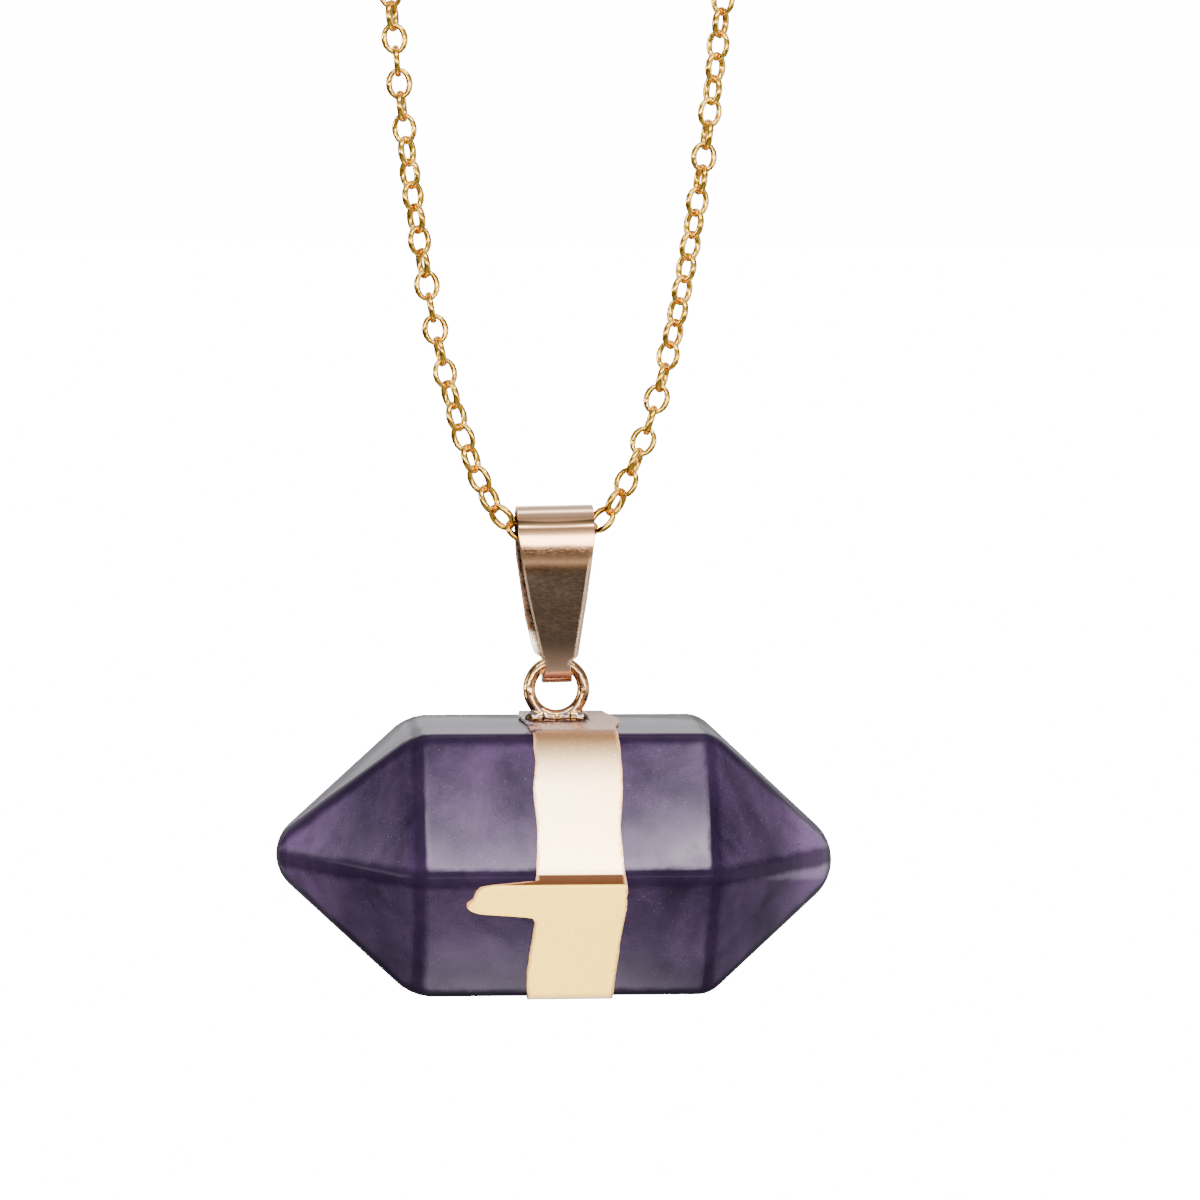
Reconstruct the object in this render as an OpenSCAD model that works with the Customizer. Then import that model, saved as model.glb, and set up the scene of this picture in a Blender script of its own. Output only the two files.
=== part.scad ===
// Stone pendant necklace: a six-sided stone with two points, worn level under a
// folded bail on a fine oval-link chain. All sizes are in millimetres.
// The origin is the middle of the clasp, at the top of the hanging loop.

/* [Stone] */
// Length over the two rounded tips
stone_len = 40.1; // [36:0.1:44]
// Distance between opposite flats of the six-sided middle
stone_flats = 18.9; // [17:0.1:20]
// Length of the six-sided middle
stone_body = 21.1; // [18:0.1:22]
// Distance of the six-sided middle to the right of the stone's middle
body_x = 0.15; // [0:0.05:0.3]
// Rounding radius of the long edges
edge_r = 1.2; // [0.8:0.1:1.6]
// Rounding radius of the left shoulder, between the six-sided middle and the point
shoulder_left = 4.1; // [2:0.1:5]
// Rounding radius of the right shoulder
shoulder_right = 2.5; // [2:0.1:5]
// Rounding radius of the left tip
tip_left = 3; // [2.4:0.1:3.6]
// Rounding radius of the right tip
tip_right = 3.5; // [2.4:0.1:3.6]
// Rise of the left tip above the stone's axis
tip_rise = 0.1; // [0:0.05:0.3]
// Drop of the right tip below the stone's axis
tip_drop = 0.55; // [0:0.05:0.8]

/* [Gold band] */
// Width of the plating that wraps the stone
band_w = 6.1; // [5:0.1:7]
// Distance of the plating's middle from the stone's middle
band_x = 0.9; // [0:0.1:1.5]
// Thickness of the plating
band_t = 0.2; // [0.15:0.05:0.3]
// Air between the plating and the stone
band_gap = 0.05; // [0.03:0.01:0.1]
// Outer diameter of the eye ring that is soldered on the plating
eye_od = 4.8; // [4.4:0.1:5.2]
// Wire diameter of the eye ring
eye_wire = 0.9; // [0.7:0.05:1]

/* [Bail] */
// Height over the fold and the bend
bail_h = 12.75; // [12:0.05:14]
// Width at the fold
bail_w = 5.5; // [5:0.1:5.8]
// Thickness of the sheet
bail_t = 0.35; // [0.25:0.05:0.4]
// Outer radius of the fold round the chain
fold_r = 2.1; // [2:0.05:2.4]
// Outer radius of the bend round the eye ring
bend_r = 1.2; // [1.15:0.05:1.3]
// Lean of the bail to one side, in degrees
bail_lean = 1.25; // [0:0.25:2]
// Depth of the chain's line below the top of the fold
chain_drop = 1.6; // [1.55:0.05:1.65]

/* [Chain] */
// Links on each side of the lowest one
side_links = 121; // [81:2:121]
// Distance from one link to the next
pitch = 1.59; // [1.55:0.01:1.65]
// Wire diameter of a link
link_wire = 0.29; // [0.25:0.01:0.3]
// Outer width of a link
link_w = 1.95; // [1.85:0.01:2]
// Slack between one link and the next
link_gap = 0.15; // [0.14:0.01:0.18]
// Radius of the chain's curve where it carries the bail
sag_r = 5.1; // [5:0.1:6]
// How fast the chain's two sides close in on upright
hang_a = 4.3; // [3.5:0.1:5]

/* [Clasp] */
// Outer diameter of the clasp's ring
clasp_od = 5.2; // [4.8:0.1:6]
// Wire diameter of the clasp's ring
clasp_wire = 0.7; // [0.6:0.05:0.75]
// Outer diameter of the small eye on the clasp
clasp_eye_od = 2.1; // [2:0.1:2.4]
// Wire diameter of the small eye
clasp_eye_wire = 0.5; // [0.4:0.05:0.55]

/* [Hidden] */

// Colours
STONE_PURPLE = "#4b3f66";
PALE_GOLD = "#e6cf9f";
ROSE_GOLD = "#a9805a";
YELLOW_GOLD = "#d9a13a";

// The stone's own middle is the origin of its shapes; FLAT is its top flat's height.
FLAT = stone_flats / 2;
// The stone's two ends. Columns: side, length of the six-sided middle on that side,
// shoulder radius, tip radius, height of the tip above the stone's axis.
ENDS = [
  [-1, stone_body / 2 - body_x, shoulder_left, tip_left, tip_rise],
  [1, stone_body / 2 + body_x, shoulder_right, tip_right, -tip_drop]
];

// The plating's outline, going round from the back edge of the top flat towards the
// front. Columns: distance gone in flats, left edge, right edge, both from its middle.
BAND_EDGES = [
  [0.00, -3.15, 2.75], [0.25, -3.45, 3.20], [0.45, -3.25, 3.65], [0.60, -3.05, 3.55],
  [0.80, -3.10, 3.05], [1.00, -3.00, 3.00], [1.16, -2.88, 3.20], [1.38, -3.09, 3.22],
  [1.66, -2.91, 2.95], [1.95, -3.02, 3.10], [2.05, -3.15, 3.36], [2.22, -3.00, 3.40],
  [2.47, -3.12, 3.13], [2.69, -3.35, 2.98], [2.90, -3.38, 2.88], [3.00, -3.20, 2.82],
  [3.30, -3.10, 3.05], [3.65, -3.02, 2.92], [4.00, -3.15, 3.10], [4.35, -2.98, 3.22],
  [4.70, -3.10, 3.00], [5.00, -3.05, 2.90], [5.35, -3.20, 3.05], [5.70, -3.02, 2.95],
  [6.00, -3.15, 2.75]
];
// The drip of plating on the lower front flat. Columns: distance left of the
// plating's middle, distance below the flat's middle line.
DRIP = [
  [-2.90, -4.95], [-5.80, -5.00], [-7.30, -4.90], [-7.42, -4.30], [-7.90, -3.50],
  [-7.85, -3.05], [-7.50, -2.75], [-6.90, -2.50], [-4.80, -2.30], [-3.50, -2.28],
  [-3.10, -1.80], [-2.90, -1.00]
];

// The eye ring stands on the plating and dips a little into it.
SKIN_IN = FLAT + band_gap;
SKIN_OUT = SKIN_IN + band_t;
EYE_R = (eye_od - eye_wire) / 2;
EYE_Z = SKIN_IN + band_t / 4 + eye_od / 2;
EYE_TOP = EYE_Z + EYE_R;
// Solder: a low mound with a foot on each side. Columns: x, z, radius of each ball.
SOLDER_H = 0.25;
SOLDER_R = 1.9;
SOLDER_FEET = [[-1.55, 9.75, 0.72], [1.7, 9.75, 0.72]];

// Bail, from the top down. Columns: share of the height, then as shares of the full
// width: half width of the front leg, half width of the back leg, and how far the
// front leg stands off to the right. Both legs have shoulders just above the eye ring.
BAIL_TAPER = [
  [0.000, 0.500, 0.500, 0.000], [0.165, 0.495, 0.498, 0.000], [0.300, 0.458, 0.486, 0.000],
  [0.400, 0.424, 0.455, 0.002], [0.525, 0.378, 0.420, 0.007], [0.645, 0.325, 0.385, 0.015],
  [0.800, 0.257, 0.305, 0.027], [0.846, 0.238, 0.270, 0.031], [0.856, 0.212, 0.222, 0.022],
  [0.870, 0.176, 0.178, 0.008], [0.890, 0.162, 0.162, 0.000], [0.915, 0.168, 0.168, 0.000],
  [0.945, 0.187, 0.187, 0.000], [1.000, 0.196, 0.196, 0.000]
];
// The bend's lowest point hangs this far below the eye ring's wire line.
BEND_LOW = 1.5;
BAIL_TOP = EYE_TOP - BEND_LOW + bail_h;
CHAIN_LINE = BAIL_TOP - chain_drop;

// Extra twist of the links about the chain, on top of a quarter turn from each link
// to the next. Columns: link number from the lowest one, twist in degrees.
TWIST = [
  [-side_links, 0], [-27, -60], [-24, -88], [-23, -88], [-19, -42], [-16, -28], [-13, 0],
  [-12, 0], [-9, -30], [-7, -56], [-2, -45], [2, -45], [4, -34], [7, -2], [8, -6],
  [11, -50], [16, -55], [19, -86], [20, -80], [24, -38], [27, -34], [side_links, 0]
];
// Share of a pitch that the lowest link stands off the middle
LINK_PHASE = 0.42;
// A link's centre line has two round ends of radius LINK_R, LINK_SIDE apart.
LINK_IN = pitch + link_gap;
LINK_R = (link_w - link_wire) / 2;
LINK_SIDE = LINK_IN + link_wire - 2 * LINK_R;

// The chain's line from its lowest point: an arc, a hanging curve, a straight run,
// and an arc over the top. Slopes are in degrees from level.
ARC_SLOPE = 60;
RUN_SLOPE = 84.5;
ARC_LEN = sag_r * ARC_SLOPE * PI / 180;
HANG_LEN = hang_a * (tan(RUN_SLOPE) - tan(ARC_SLOPE));
RUN_START = hang_point(HANG_LEN);
TOP_TURN = (180 - RUN_SLOPE) * PI / 180;
CLASP_R = (clasp_od - clasp_wire) / 2;
CLASP_EYE_R = (clasp_eye_od - clasp_eye_wire) / 2;
CLASP_STEP = CLASP_R + CLASP_EYE_R + (clasp_wire + clasp_eye_wire) / 2 - 0.15;
RING_HOOK = LINK_IN / 2 - link_gap - clasp_wire / 2;
EYE_HOOK = LINK_IN / 2 - link_gap - clasp_eye_wire / 2;
CLASP_SPAN = RING_HOOK + CLASP_R + CLASP_STEP + CLASP_EYE_R + EYE_HOOK;
HALF_LOOP = side_links * pitch + CLASP_SPAN / 2;
RUN_LEN = (HALF_LOOP - ARC_LEN - HANG_LEN - TOP_TURN * RUN_START[0] / sin(RUN_SLOPE))
  / (1 + TOP_TURN * cos(RUN_SLOPE) / sin(RUN_SLOPE));
RUN_END = RUN_START + RUN_LEN * [cos(RUN_SLOPE), sin(RUN_SLOPE)];
TOP_R = RUN_END[0] / sin(RUN_SLOPE);
LOOP_H = RUN_END[1] + TOP_R * (1 + cos(RUN_SLOPE));

// The loop's lowest point and the stone's middle, from the origin
LOW_Z = -LOOP_H;
SAG = sag_r - sqrt(pow(sag_r, 2) - pow(bail_w / 2, 2));
STONE_MID = [0.3, 0, LOW_Z + SAG - CHAIN_LINE];

function asinh(t) = ln(t + sqrt(t * t + 1));

// A point of the hanging curve, s along it from the end of the lower arc.
function hang_point(s) =
  let (t0 = tan(ARC_SLOPE), t = t0 + s / hang_a)
  [sag_r * sin(ARC_SLOPE) + hang_a * (asinh(t) - asinh(t0)),
   sag_r * (1 - cos(ARC_SLOPE)) + hang_a * (sqrt(t * t + 1) - sqrt(t0 * t0 + 1))];

// Place and slope of the chain's line, s along it from its lowest point, for s >= 0.
function half_place(s) =
  let (s2 = s - ARC_LEN, s3 = s2 - HANG_LEN, s4 = s3 - RUN_LEN)
  s2 < 0 ? let (a = s / sag_r * 180 / PI) [sag_r * sin(a), sag_r * (1 - cos(a)), a]
  : s3 < 0 ? let (p = hang_point(s2)) [p[0], p[1], atan(tan(ARC_SLOPE) + s2 / hang_a)]
  : s4 < 0 ? [RUN_START[0] + s3 * cos(RUN_SLOPE), RUN_START[1] + s3 * sin(RUN_SLOPE), RUN_SLOPE]
  : let (a = RUN_SLOPE + s4 / TOP_R * 180 / PI)
    [TOP_R * sin(a), RUN_END[1] + TOP_R * (cos(RUN_SLOPE) - cos(a)), a];

// The same to both sides: x, z and slope, with the link's twist last.
function link_place(n) =
  let (s = (n + LINK_PHASE) * pitch, p = half_place(abs(s)), side = s < 0 ? -1 : 1)
  [side * p[0], LOW_Z + p[1], side * p[2], (n % 2 == 0 ? 0 : 90) + lookup(n, TWIST)];

// Angle from the X axis at which an end facet faces. The facet passes through the edge
// of the six-sided middle and touches the tip's ball.
function facet_angle(end) =
  let (x = end[1] - stone_len / 2 + end[3])
  atan2(FLAT, x) - acos(end[3] / norm([x, FLAT]));

// Centre of a long edge's ball on the shoulder, at angle a on its arc: [x, radius].
function shoulder_ball(end, a) =
  let (t = facet_angle(end), x = end[1] - end[2] * (1 - sin(t)) / cos(t))
  [x + (end[2] - edge_r) * cos(a), (FLAT - end[2] + (end[2] - edge_r) * sin(a)) / cos(30)];

// Points of a closed outline from rows of [height, left, right].
function outline(rows) = concat(
  [for (r = rows) [r[2], r[0]]],
  [for (i = [len(rows) - 1:-1:0]) [rows[i][1], rows[i][0]]]
);

// The plating's edges at distance d, in flats.
function band_row(d) = [
  d, lookup(d, [for (r = BAND_EDGES) [r[0], r[1]]]), lookup(d, [for (r = BAND_EDGES) [r[0], r[2]]])
];

// Rows of the plating's outline on flat number i, a little longer than the flat.
function flat_rows(i) =
  let (side = 2 * FLAT * tan(30), over = 0.45,
       rows = [band_row(i), for (r = BAND_EDGES) if (r[0] > i && r[0] < i + 1) r, band_row(i + 1)])
  [for (k = [0:len(rows) - 1])
    let (push = k == 0 ? -over : k == len(rows) - 1 ? over : 0)
    [(rows[k][0] - i - 0.5) * side + push,
     band_x + rows[k][1] * band_w / 6.1, band_x + rows[k][2] * band_w / 6.1]];

// Moves shapes that are drawn on the top flat to flat number i.
module on_flat(i) {
  rotate([60 * i, 0, 0]) mirror([0, 1, 0]) children();
}

// A six-sided bar along X with its long edges rounded off by a cylinder.
module hex_bar(flat, length) {
  rotate([0, 90, 0]) intersection() {
    rotate(30) cylinder(r = flat / cos(30), h = length, center = true, $fn = 6);
    cylinder(r = flat / cos(30) - edge_r * (1 / cos(30) - 1), h = length, center = true, $fn = 96);
  }
}

module stone_ball(x, z, r) {
  translate([x, 0, z]) rotate([0, 90, 0]) sphere(r = r, $fn = 36);
}

// The shoulder's steps match the rings of its balls, 10 degrees apart from 5.
module stone() {
  color(STONE_PURPLE) translate(STONE_MID) hull() {
    for (end = ENDS) {
      stone_ball(end[0] * (stone_len / 2 - end[3]), end[4], end[3]);
      for (turn = [30:60:330], a = [45:10:85]) {
        ball = shoulder_ball(end, a);
        rotate([turn, 0, 0]) stone_ball(end[0] * ball[0], ball[1], edge_r);
      }
    }
  }
}

// The plating's skin on all six flats, with the drip on the lower front one.
module band_skin() {
  intersection() {
    difference() {
      hex_bar(SKIN_OUT, stone_body);
      hex_bar(SKIN_IN, stone_body + 1);
    }
    union() {
      for (i = [0:5])
        on_flat(i) translate([0, 0, FLAT - 0.4])
          linear_extrude(1.2) polygon(outline(flat_rows(i)));
      on_flat(2) translate([0, 0, FLAT - 0.4])
        linear_extrude(1.2) polygon([for (p = DRIP) [band_x + p[0], p[1]]]);
    }
  }
}

module eye_ring() {
  translate([0, 0, EYE_Z]) rotate([90, 0, 0])
    rotate_extrude($fn = 96) translate([EYE_R, 0]) circle(d = eye_wire, $fn = 48);
}

module solder() {
  mound = (pow(SOLDER_R, 2) + pow(SOLDER_H, 2)) / (2 * SOLDER_H);
  intersection() {
    union() {
      translate([0, 0, SKIN_OUT + SOLDER_H - mound]) sphere(r = mound, $fn = 96);
      for (f = SOLDER_FEET) translate([f[0], 0, f[1]]) sphere(r = f[2], $fn = 48);
    }
    translate([-SOLDER_R - 1, -SOLDER_R - 1, SKIN_IN + band_t / 4])
      cube([2 * SOLDER_R + 2, 2 * SOLDER_R + 2, 2]);
  }
}

module gold_band() {
  color(PALE_GOLD) translate(STONE_MID) {
    band_skin();
    eye_ring();
    solder();
  }
}

// Side view of the bail: two discs and the flat legs that touch both.
module bail_side(top_r, low_r, span) {
  tilt = asin((top_r - low_r) / span);
  leg = [cos(tilt), sin(tilt)];
  circle(r = top_r, $fn = 96);
  translate([0, -span]) circle(r = low_r, $fn = 96);
  polygon([
    [top_r * leg[0], -top_r * leg[1]], [-top_r * leg[0], -top_r * leg[1]],
    [-low_r * leg[0], -span - low_r * leg[1]], [low_r * leg[0], -span - low_r * leg[1]]
  ]);
}

// Front view of one leg, cut to its taper. Column 1 is the front leg, 2 the back one.
module bail_leg_shape(column) {
  rows = [for (r = BAIL_TAPER)
    let (off = column == 1 ? r[3] : 0)
    [-r[0] * bail_h, (off - r[column]) * bail_w, (off + r[column]) * bail_w]];
  polygon(outline(rows));
}

module bail() {
  span = bail_h - fold_r - bend_r;
  color(ROSE_GOLD)
    translate(STONE_MID + [0, 0, EYE_TOP]) rotate([0, -bail_lean, 0])
    translate([0, 0, BAIL_TOP - EYE_TOP])
    intersection() {
      translate([-bail_w, 0, -fold_r]) rotate([90, 0, 90]) linear_extrude(2 * bail_w)
        difference() {
          bail_side(fold_r, bend_r, span);
          bail_side(fold_r - bail_t, bend_r - bail_t, span);
        }
      union() {
        rotate([90, 0, 0]) linear_extrude(fold_r + 1) bail_leg_shape(1);
        mirror([0, 1, 0]) rotate([90, 0, 0]) linear_extrude(fold_r + 1) bail_leg_shape(2);
      }
    }
}

// A link lies in XY with its long side on X.
module link() {
  for (side = [-1, 1]) {
    translate([side * LINK_SIDE / 2, 0, 0]) rotate(side < 0 ? 90 : -90)
      rotate_extrude(angle = 180, $fn = 48) translate([LINK_R, 0])
        circle(d = link_wire, $fn = 24);
    translate([-LINK_SIDE / 2, side * LINK_R, 0]) rotate([0, 90, 0])
      cylinder(d = link_wire, h = LINK_SIDE, $fn = 24);
  }
}

// The links from one number to another, each at its place on the chain's line.
module links(first, last) {
  for (n = [first:last]) {
    p = link_place(n);
    translate([p[0], 0, p[1]]) rotate([0, -p[2], 0]) rotate([90 + p[3], 0, 0]) link();
  }
}

module chain_left() {
  color(YELLOW_GOLD) links(-side_links, -1);
}

module chain_right() {
  color(YELLOW_GOLD) links(0, side_links);
}

module flat_ring(r, wire) {
  rotate([90, 0, 0]) rotate_extrude($fn = 96) translate([r, 0]) circle(d = wire, $fn = 32);
}

// A plain ring and its small eye, between the chain's two end links.
module clasp() {
  right = link_place(side_links);
  left = link_place(-side_links);
  from = [right[0], 0, right[1]];
  way = [left[0], 0, left[1]] - from;
  slope = atan2(way[2], way[0]);
  slack = (norm(way) - CLASP_SPAN) / 2;
  color(YELLOW_GOLD)
    translate(from) rotate([0, -slope, 0]) translate([slack + RING_HOOK + CLASP_R, 0, 0]) {
      flat_ring(CLASP_R, clasp_wire);
      translate([CLASP_STEP, 0, 0]) flat_ring(CLASP_EYE_R, clasp_eye_wire);
    }
}

stone();
gold_band();
bail();
chain_left();
chain_right();
clasp();
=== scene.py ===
"""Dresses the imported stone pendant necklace: a two-pointed stone under a folded bail on a fine chain.

Lengths in the classes are millimetres in the stone's own frame, whose origin is the stone's middle,
unless a name says otherwise. Pieces are turned into the necklace's frame, in metres, when they are made.
"""

from __future__ import annotations

import logging
import math
from bisect import bisect_right
from collections.abc import Callable, Sequence
from dataclasses import dataclass, replace
from enum import Enum

import bmesh
import bpy
from mathutils import Matrix, Vector, noise


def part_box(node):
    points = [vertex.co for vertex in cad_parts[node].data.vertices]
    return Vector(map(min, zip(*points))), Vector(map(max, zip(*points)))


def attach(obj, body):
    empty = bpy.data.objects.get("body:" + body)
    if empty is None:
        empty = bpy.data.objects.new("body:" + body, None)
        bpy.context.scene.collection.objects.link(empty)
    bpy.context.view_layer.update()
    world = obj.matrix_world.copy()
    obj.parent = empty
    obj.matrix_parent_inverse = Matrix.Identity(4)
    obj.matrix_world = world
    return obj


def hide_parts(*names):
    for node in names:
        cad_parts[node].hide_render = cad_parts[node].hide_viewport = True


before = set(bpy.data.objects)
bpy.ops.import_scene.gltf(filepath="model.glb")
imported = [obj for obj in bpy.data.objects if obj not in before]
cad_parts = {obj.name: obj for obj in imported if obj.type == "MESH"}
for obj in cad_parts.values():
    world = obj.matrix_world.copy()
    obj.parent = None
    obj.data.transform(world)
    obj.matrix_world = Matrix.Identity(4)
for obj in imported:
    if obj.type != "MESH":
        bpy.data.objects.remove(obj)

log = logging.getLogger("necklace")

MM = 0.001

Socket = bpy.types.NodeSocket
Colour = tuple[float, float, float]
Triple = tuple[float, float, float]
Pair = tuple[float, float]
Rows = tuple[Pair, ...]

# half the angle that one of the stone's six flats takes up
HALF_FLAT = math.radians(30)
# within this distance the points on both sides of a closed strip's seam are merged
SEAM_MM = 0.0005


class Body(str, Enum):
    """The bodies that the pieces ride on."""

    NECKLACE = "necklace"
    BAIL = "bail"
    PENDANT = "pendant"


class Side(Enum):
    """Which leg of the bail a point is on; the value is its column in the taper table."""

    FRONT = 1
    BACK = 2


def lookup(x: float, rows: Sequence[Sequence[float]], column: int = 1) -> float:
    """Reads a table between its rows in straight lines.

    Args:
        x: Where to read, in the units of column 0, which rises from row to row.
        rows: The table.
        column: The column to read.

    Returns:
        The value at x, held at the end rows beyond them.
    """
    keys = [row[0] for row in rows]
    i = bisect_right(keys, x)
    if i == 0:
        return rows[0][column]
    if i == len(rows):
        return rows[-1][column]
    low, high = rows[i - 1], rows[i]
    return low[column] + (high[column] - low[column]) * (x - low[0]) / (high[0] - low[0])


def smooth_lookup(x: float, rows: Sequence[Sequence[float]], column: int, reach: float) -> float:
    """Reads a table with its corners rounded off, by five weighted readings within reach of x."""
    shares = ((-1.0, 0.12), (-0.5, 0.22), (0.0, 0.32), (0.5, 0.22), (1.0, 0.12))
    return sum(w * lookup(x + s * reach, rows, column) for s, w in shares)


def finish_mesh(bm: bmesh.types.BMesh, name: str, smooth: bool = True) -> bpy.types.Object:
    """Makes an object of a bmesh, in the scene's collection.

    Args:
        bm: The mesh in metres; it is freed.
        name: The object's name.
        smooth: Whether its faces are shaded smooth.

    Returns:
        The new object, at the origin.
    """
    bmesh.ops.recalc_face_normals(bm, faces=bm.faces)
    for face in bm.faces:
        face.smooth = smooth
    mesh = bpy.data.meshes.new(name)
    bm.to_mesh(mesh)
    bm.free()
    obj = bpy.data.objects.new(name, mesh)
    bpy.context.scene.collection.objects.link(obj)
    return obj


def add_modifier(obj: bpy.types.Object, kind: str, **settings: object) -> bpy.types.Modifier:
    """Adds a modifier with its settings.

    Args:
        obj: The piece.
        kind: The modifier's type.
        settings: Its properties by name.

    Returns:
        The modifier.
    """
    modifier = obj.modifiers.new(kind.title().replace("_", ""), kind)
    for key, value in settings.items():
        setattr(modifier, key, value)
    return modifier


def round_rims(obj: bpy.types.Object, width_mm: float, segments: int) -> None:
    """Bevels a sheet's rims to a width, in so many segments."""
    add_modifier(obj, "BEVEL", width=width_mm * MM, segments=segments, limit_method="ANGLE",
                 angle_limit=math.radians(50), profile=0.5, harden_normals=True)


def apply_modifiers(obj: bpy.types.Object) -> None:
    """Replaces the object's mesh by what its modifiers make of it.

    Args:
        obj: The piece.
    """
    graph = bpy.context.evaluated_depsgraph_get()
    graph.update()
    mesh = bpy.data.meshes.new_from_object(obj.evaluated_get(graph))
    old, name = obj.data, obj.data.name
    obj.modifiers.clear()
    obj.data = mesh
    bpy.data.meshes.remove(old)
    mesh.name = name


# finishes


class NodeSheet:
    """A node tree that is filled a node at a time."""

    def __init__(self, tree: bpy.types.NodeTree) -> None:
        """Empties the tree of a material or a world."""
        self.tree = tree
        self.tree.nodes.clear()

    def add(self, kind: str, **settings: object) -> bpy.types.Node:
        """Adds a node and sets its properties.

        Args:
            kind: The node's type name.
            settings: Its properties by name.

        Returns:
            The node.
        """
        node = self.tree.nodes.new(kind)
        for key, value in settings.items():
            setattr(node, key, value)
        return node

    def link(self, source: Socket, target: Socket) -> None:
        """Joins an output to an input."""
        self.tree.links.new(source, target)

    def calc(self, operation: str, *values: Socket | float) -> Socket:
        """Adds a Math node.

        Args:
            operation: Its operation.
            values: Sockets or numbers, in order.

        Returns:
            The result.
        """
        node = self.add("ShaderNodeMath", operation=operation)
        for socket, value in zip(node.inputs, values):
            if isinstance(value, (int, float)):
                socket.default_value = value
            else:
                self.link(value, socket)
        return node.outputs["Value"]

    def times(self, one: Socket | float, other: Socket | float) -> Socket:
        """Multiplies two values."""
        return self.calc("MULTIPLY", one, other)

    def hypot(self, one: Socket, other: Socket) -> Socket:
        """Returns the length of the slope over two sides at right angles."""
        return self.calc("SQRT", self.calc("MULTIPLY_ADD", one, one, self.times(other, other)))

    def spread(self, value: Socket, low: float, high: float,
               to_low: float = 0.0, to_high: float = 1.0) -> Socket:
        """Maps low..high smoothly to to_low..to_high, held beyond them.

        Args:
            value: What is mapped.
            low: Where the change starts.
            high: Where it ends.
            to_low: The result at low and below.
            to_high: The result at high and above.

        Returns:
            The mapped value.
        """
        node = self.add("ShaderNodeMapRange", interpolation_type="SMOOTHSTEP")
        ends = {"From Min": low, "From Max": high, "To Min": to_low, "To Max": to_high}
        for name, number in ends.items():
            node.inputs[name].default_value = number
        self.link(value, node.inputs["Value"])
        return node.outputs["Result"]

    def window(self, value: Socket, low: float, high: float, soft: float) -> Socket:
        """Returns 1 between low and high and 0 outside, with flanks of width soft outwards."""
        return self.times(self.spread(value, low - soft, low),
                          self.spread(value, high, high + soft, 1.0, 0.0))

    def table(self, value: Socket, rows: Rows) -> Socket:
        """Reads a table of two columns in straight lines.

        Args:
            value: Where to read, -1 to 1.
            rows: The table, with its first column rising from -1 to 1.

        Returns:
            The second column's value.
        """
        curve = self.add("ShaderNodeFloatCurve")
        line = curve.mapping.curves[0]
        peak = max(level for _, level in rows)
        while len(line.points) < len(rows):
            line.points.new(0.5, 0.5)
        for point, (place, level) in zip(line.points, rows):
            point.location, point.handle_type = ((place + 1) / 2, level / peak), "VECTOR"
        curve.mapping.update()
        self.link(self.calc("MULTIPLY_ADD", value, 0.5, 0.5), curve.inputs["Value"])
        return self.times(curve.outputs[0], peak)


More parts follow.
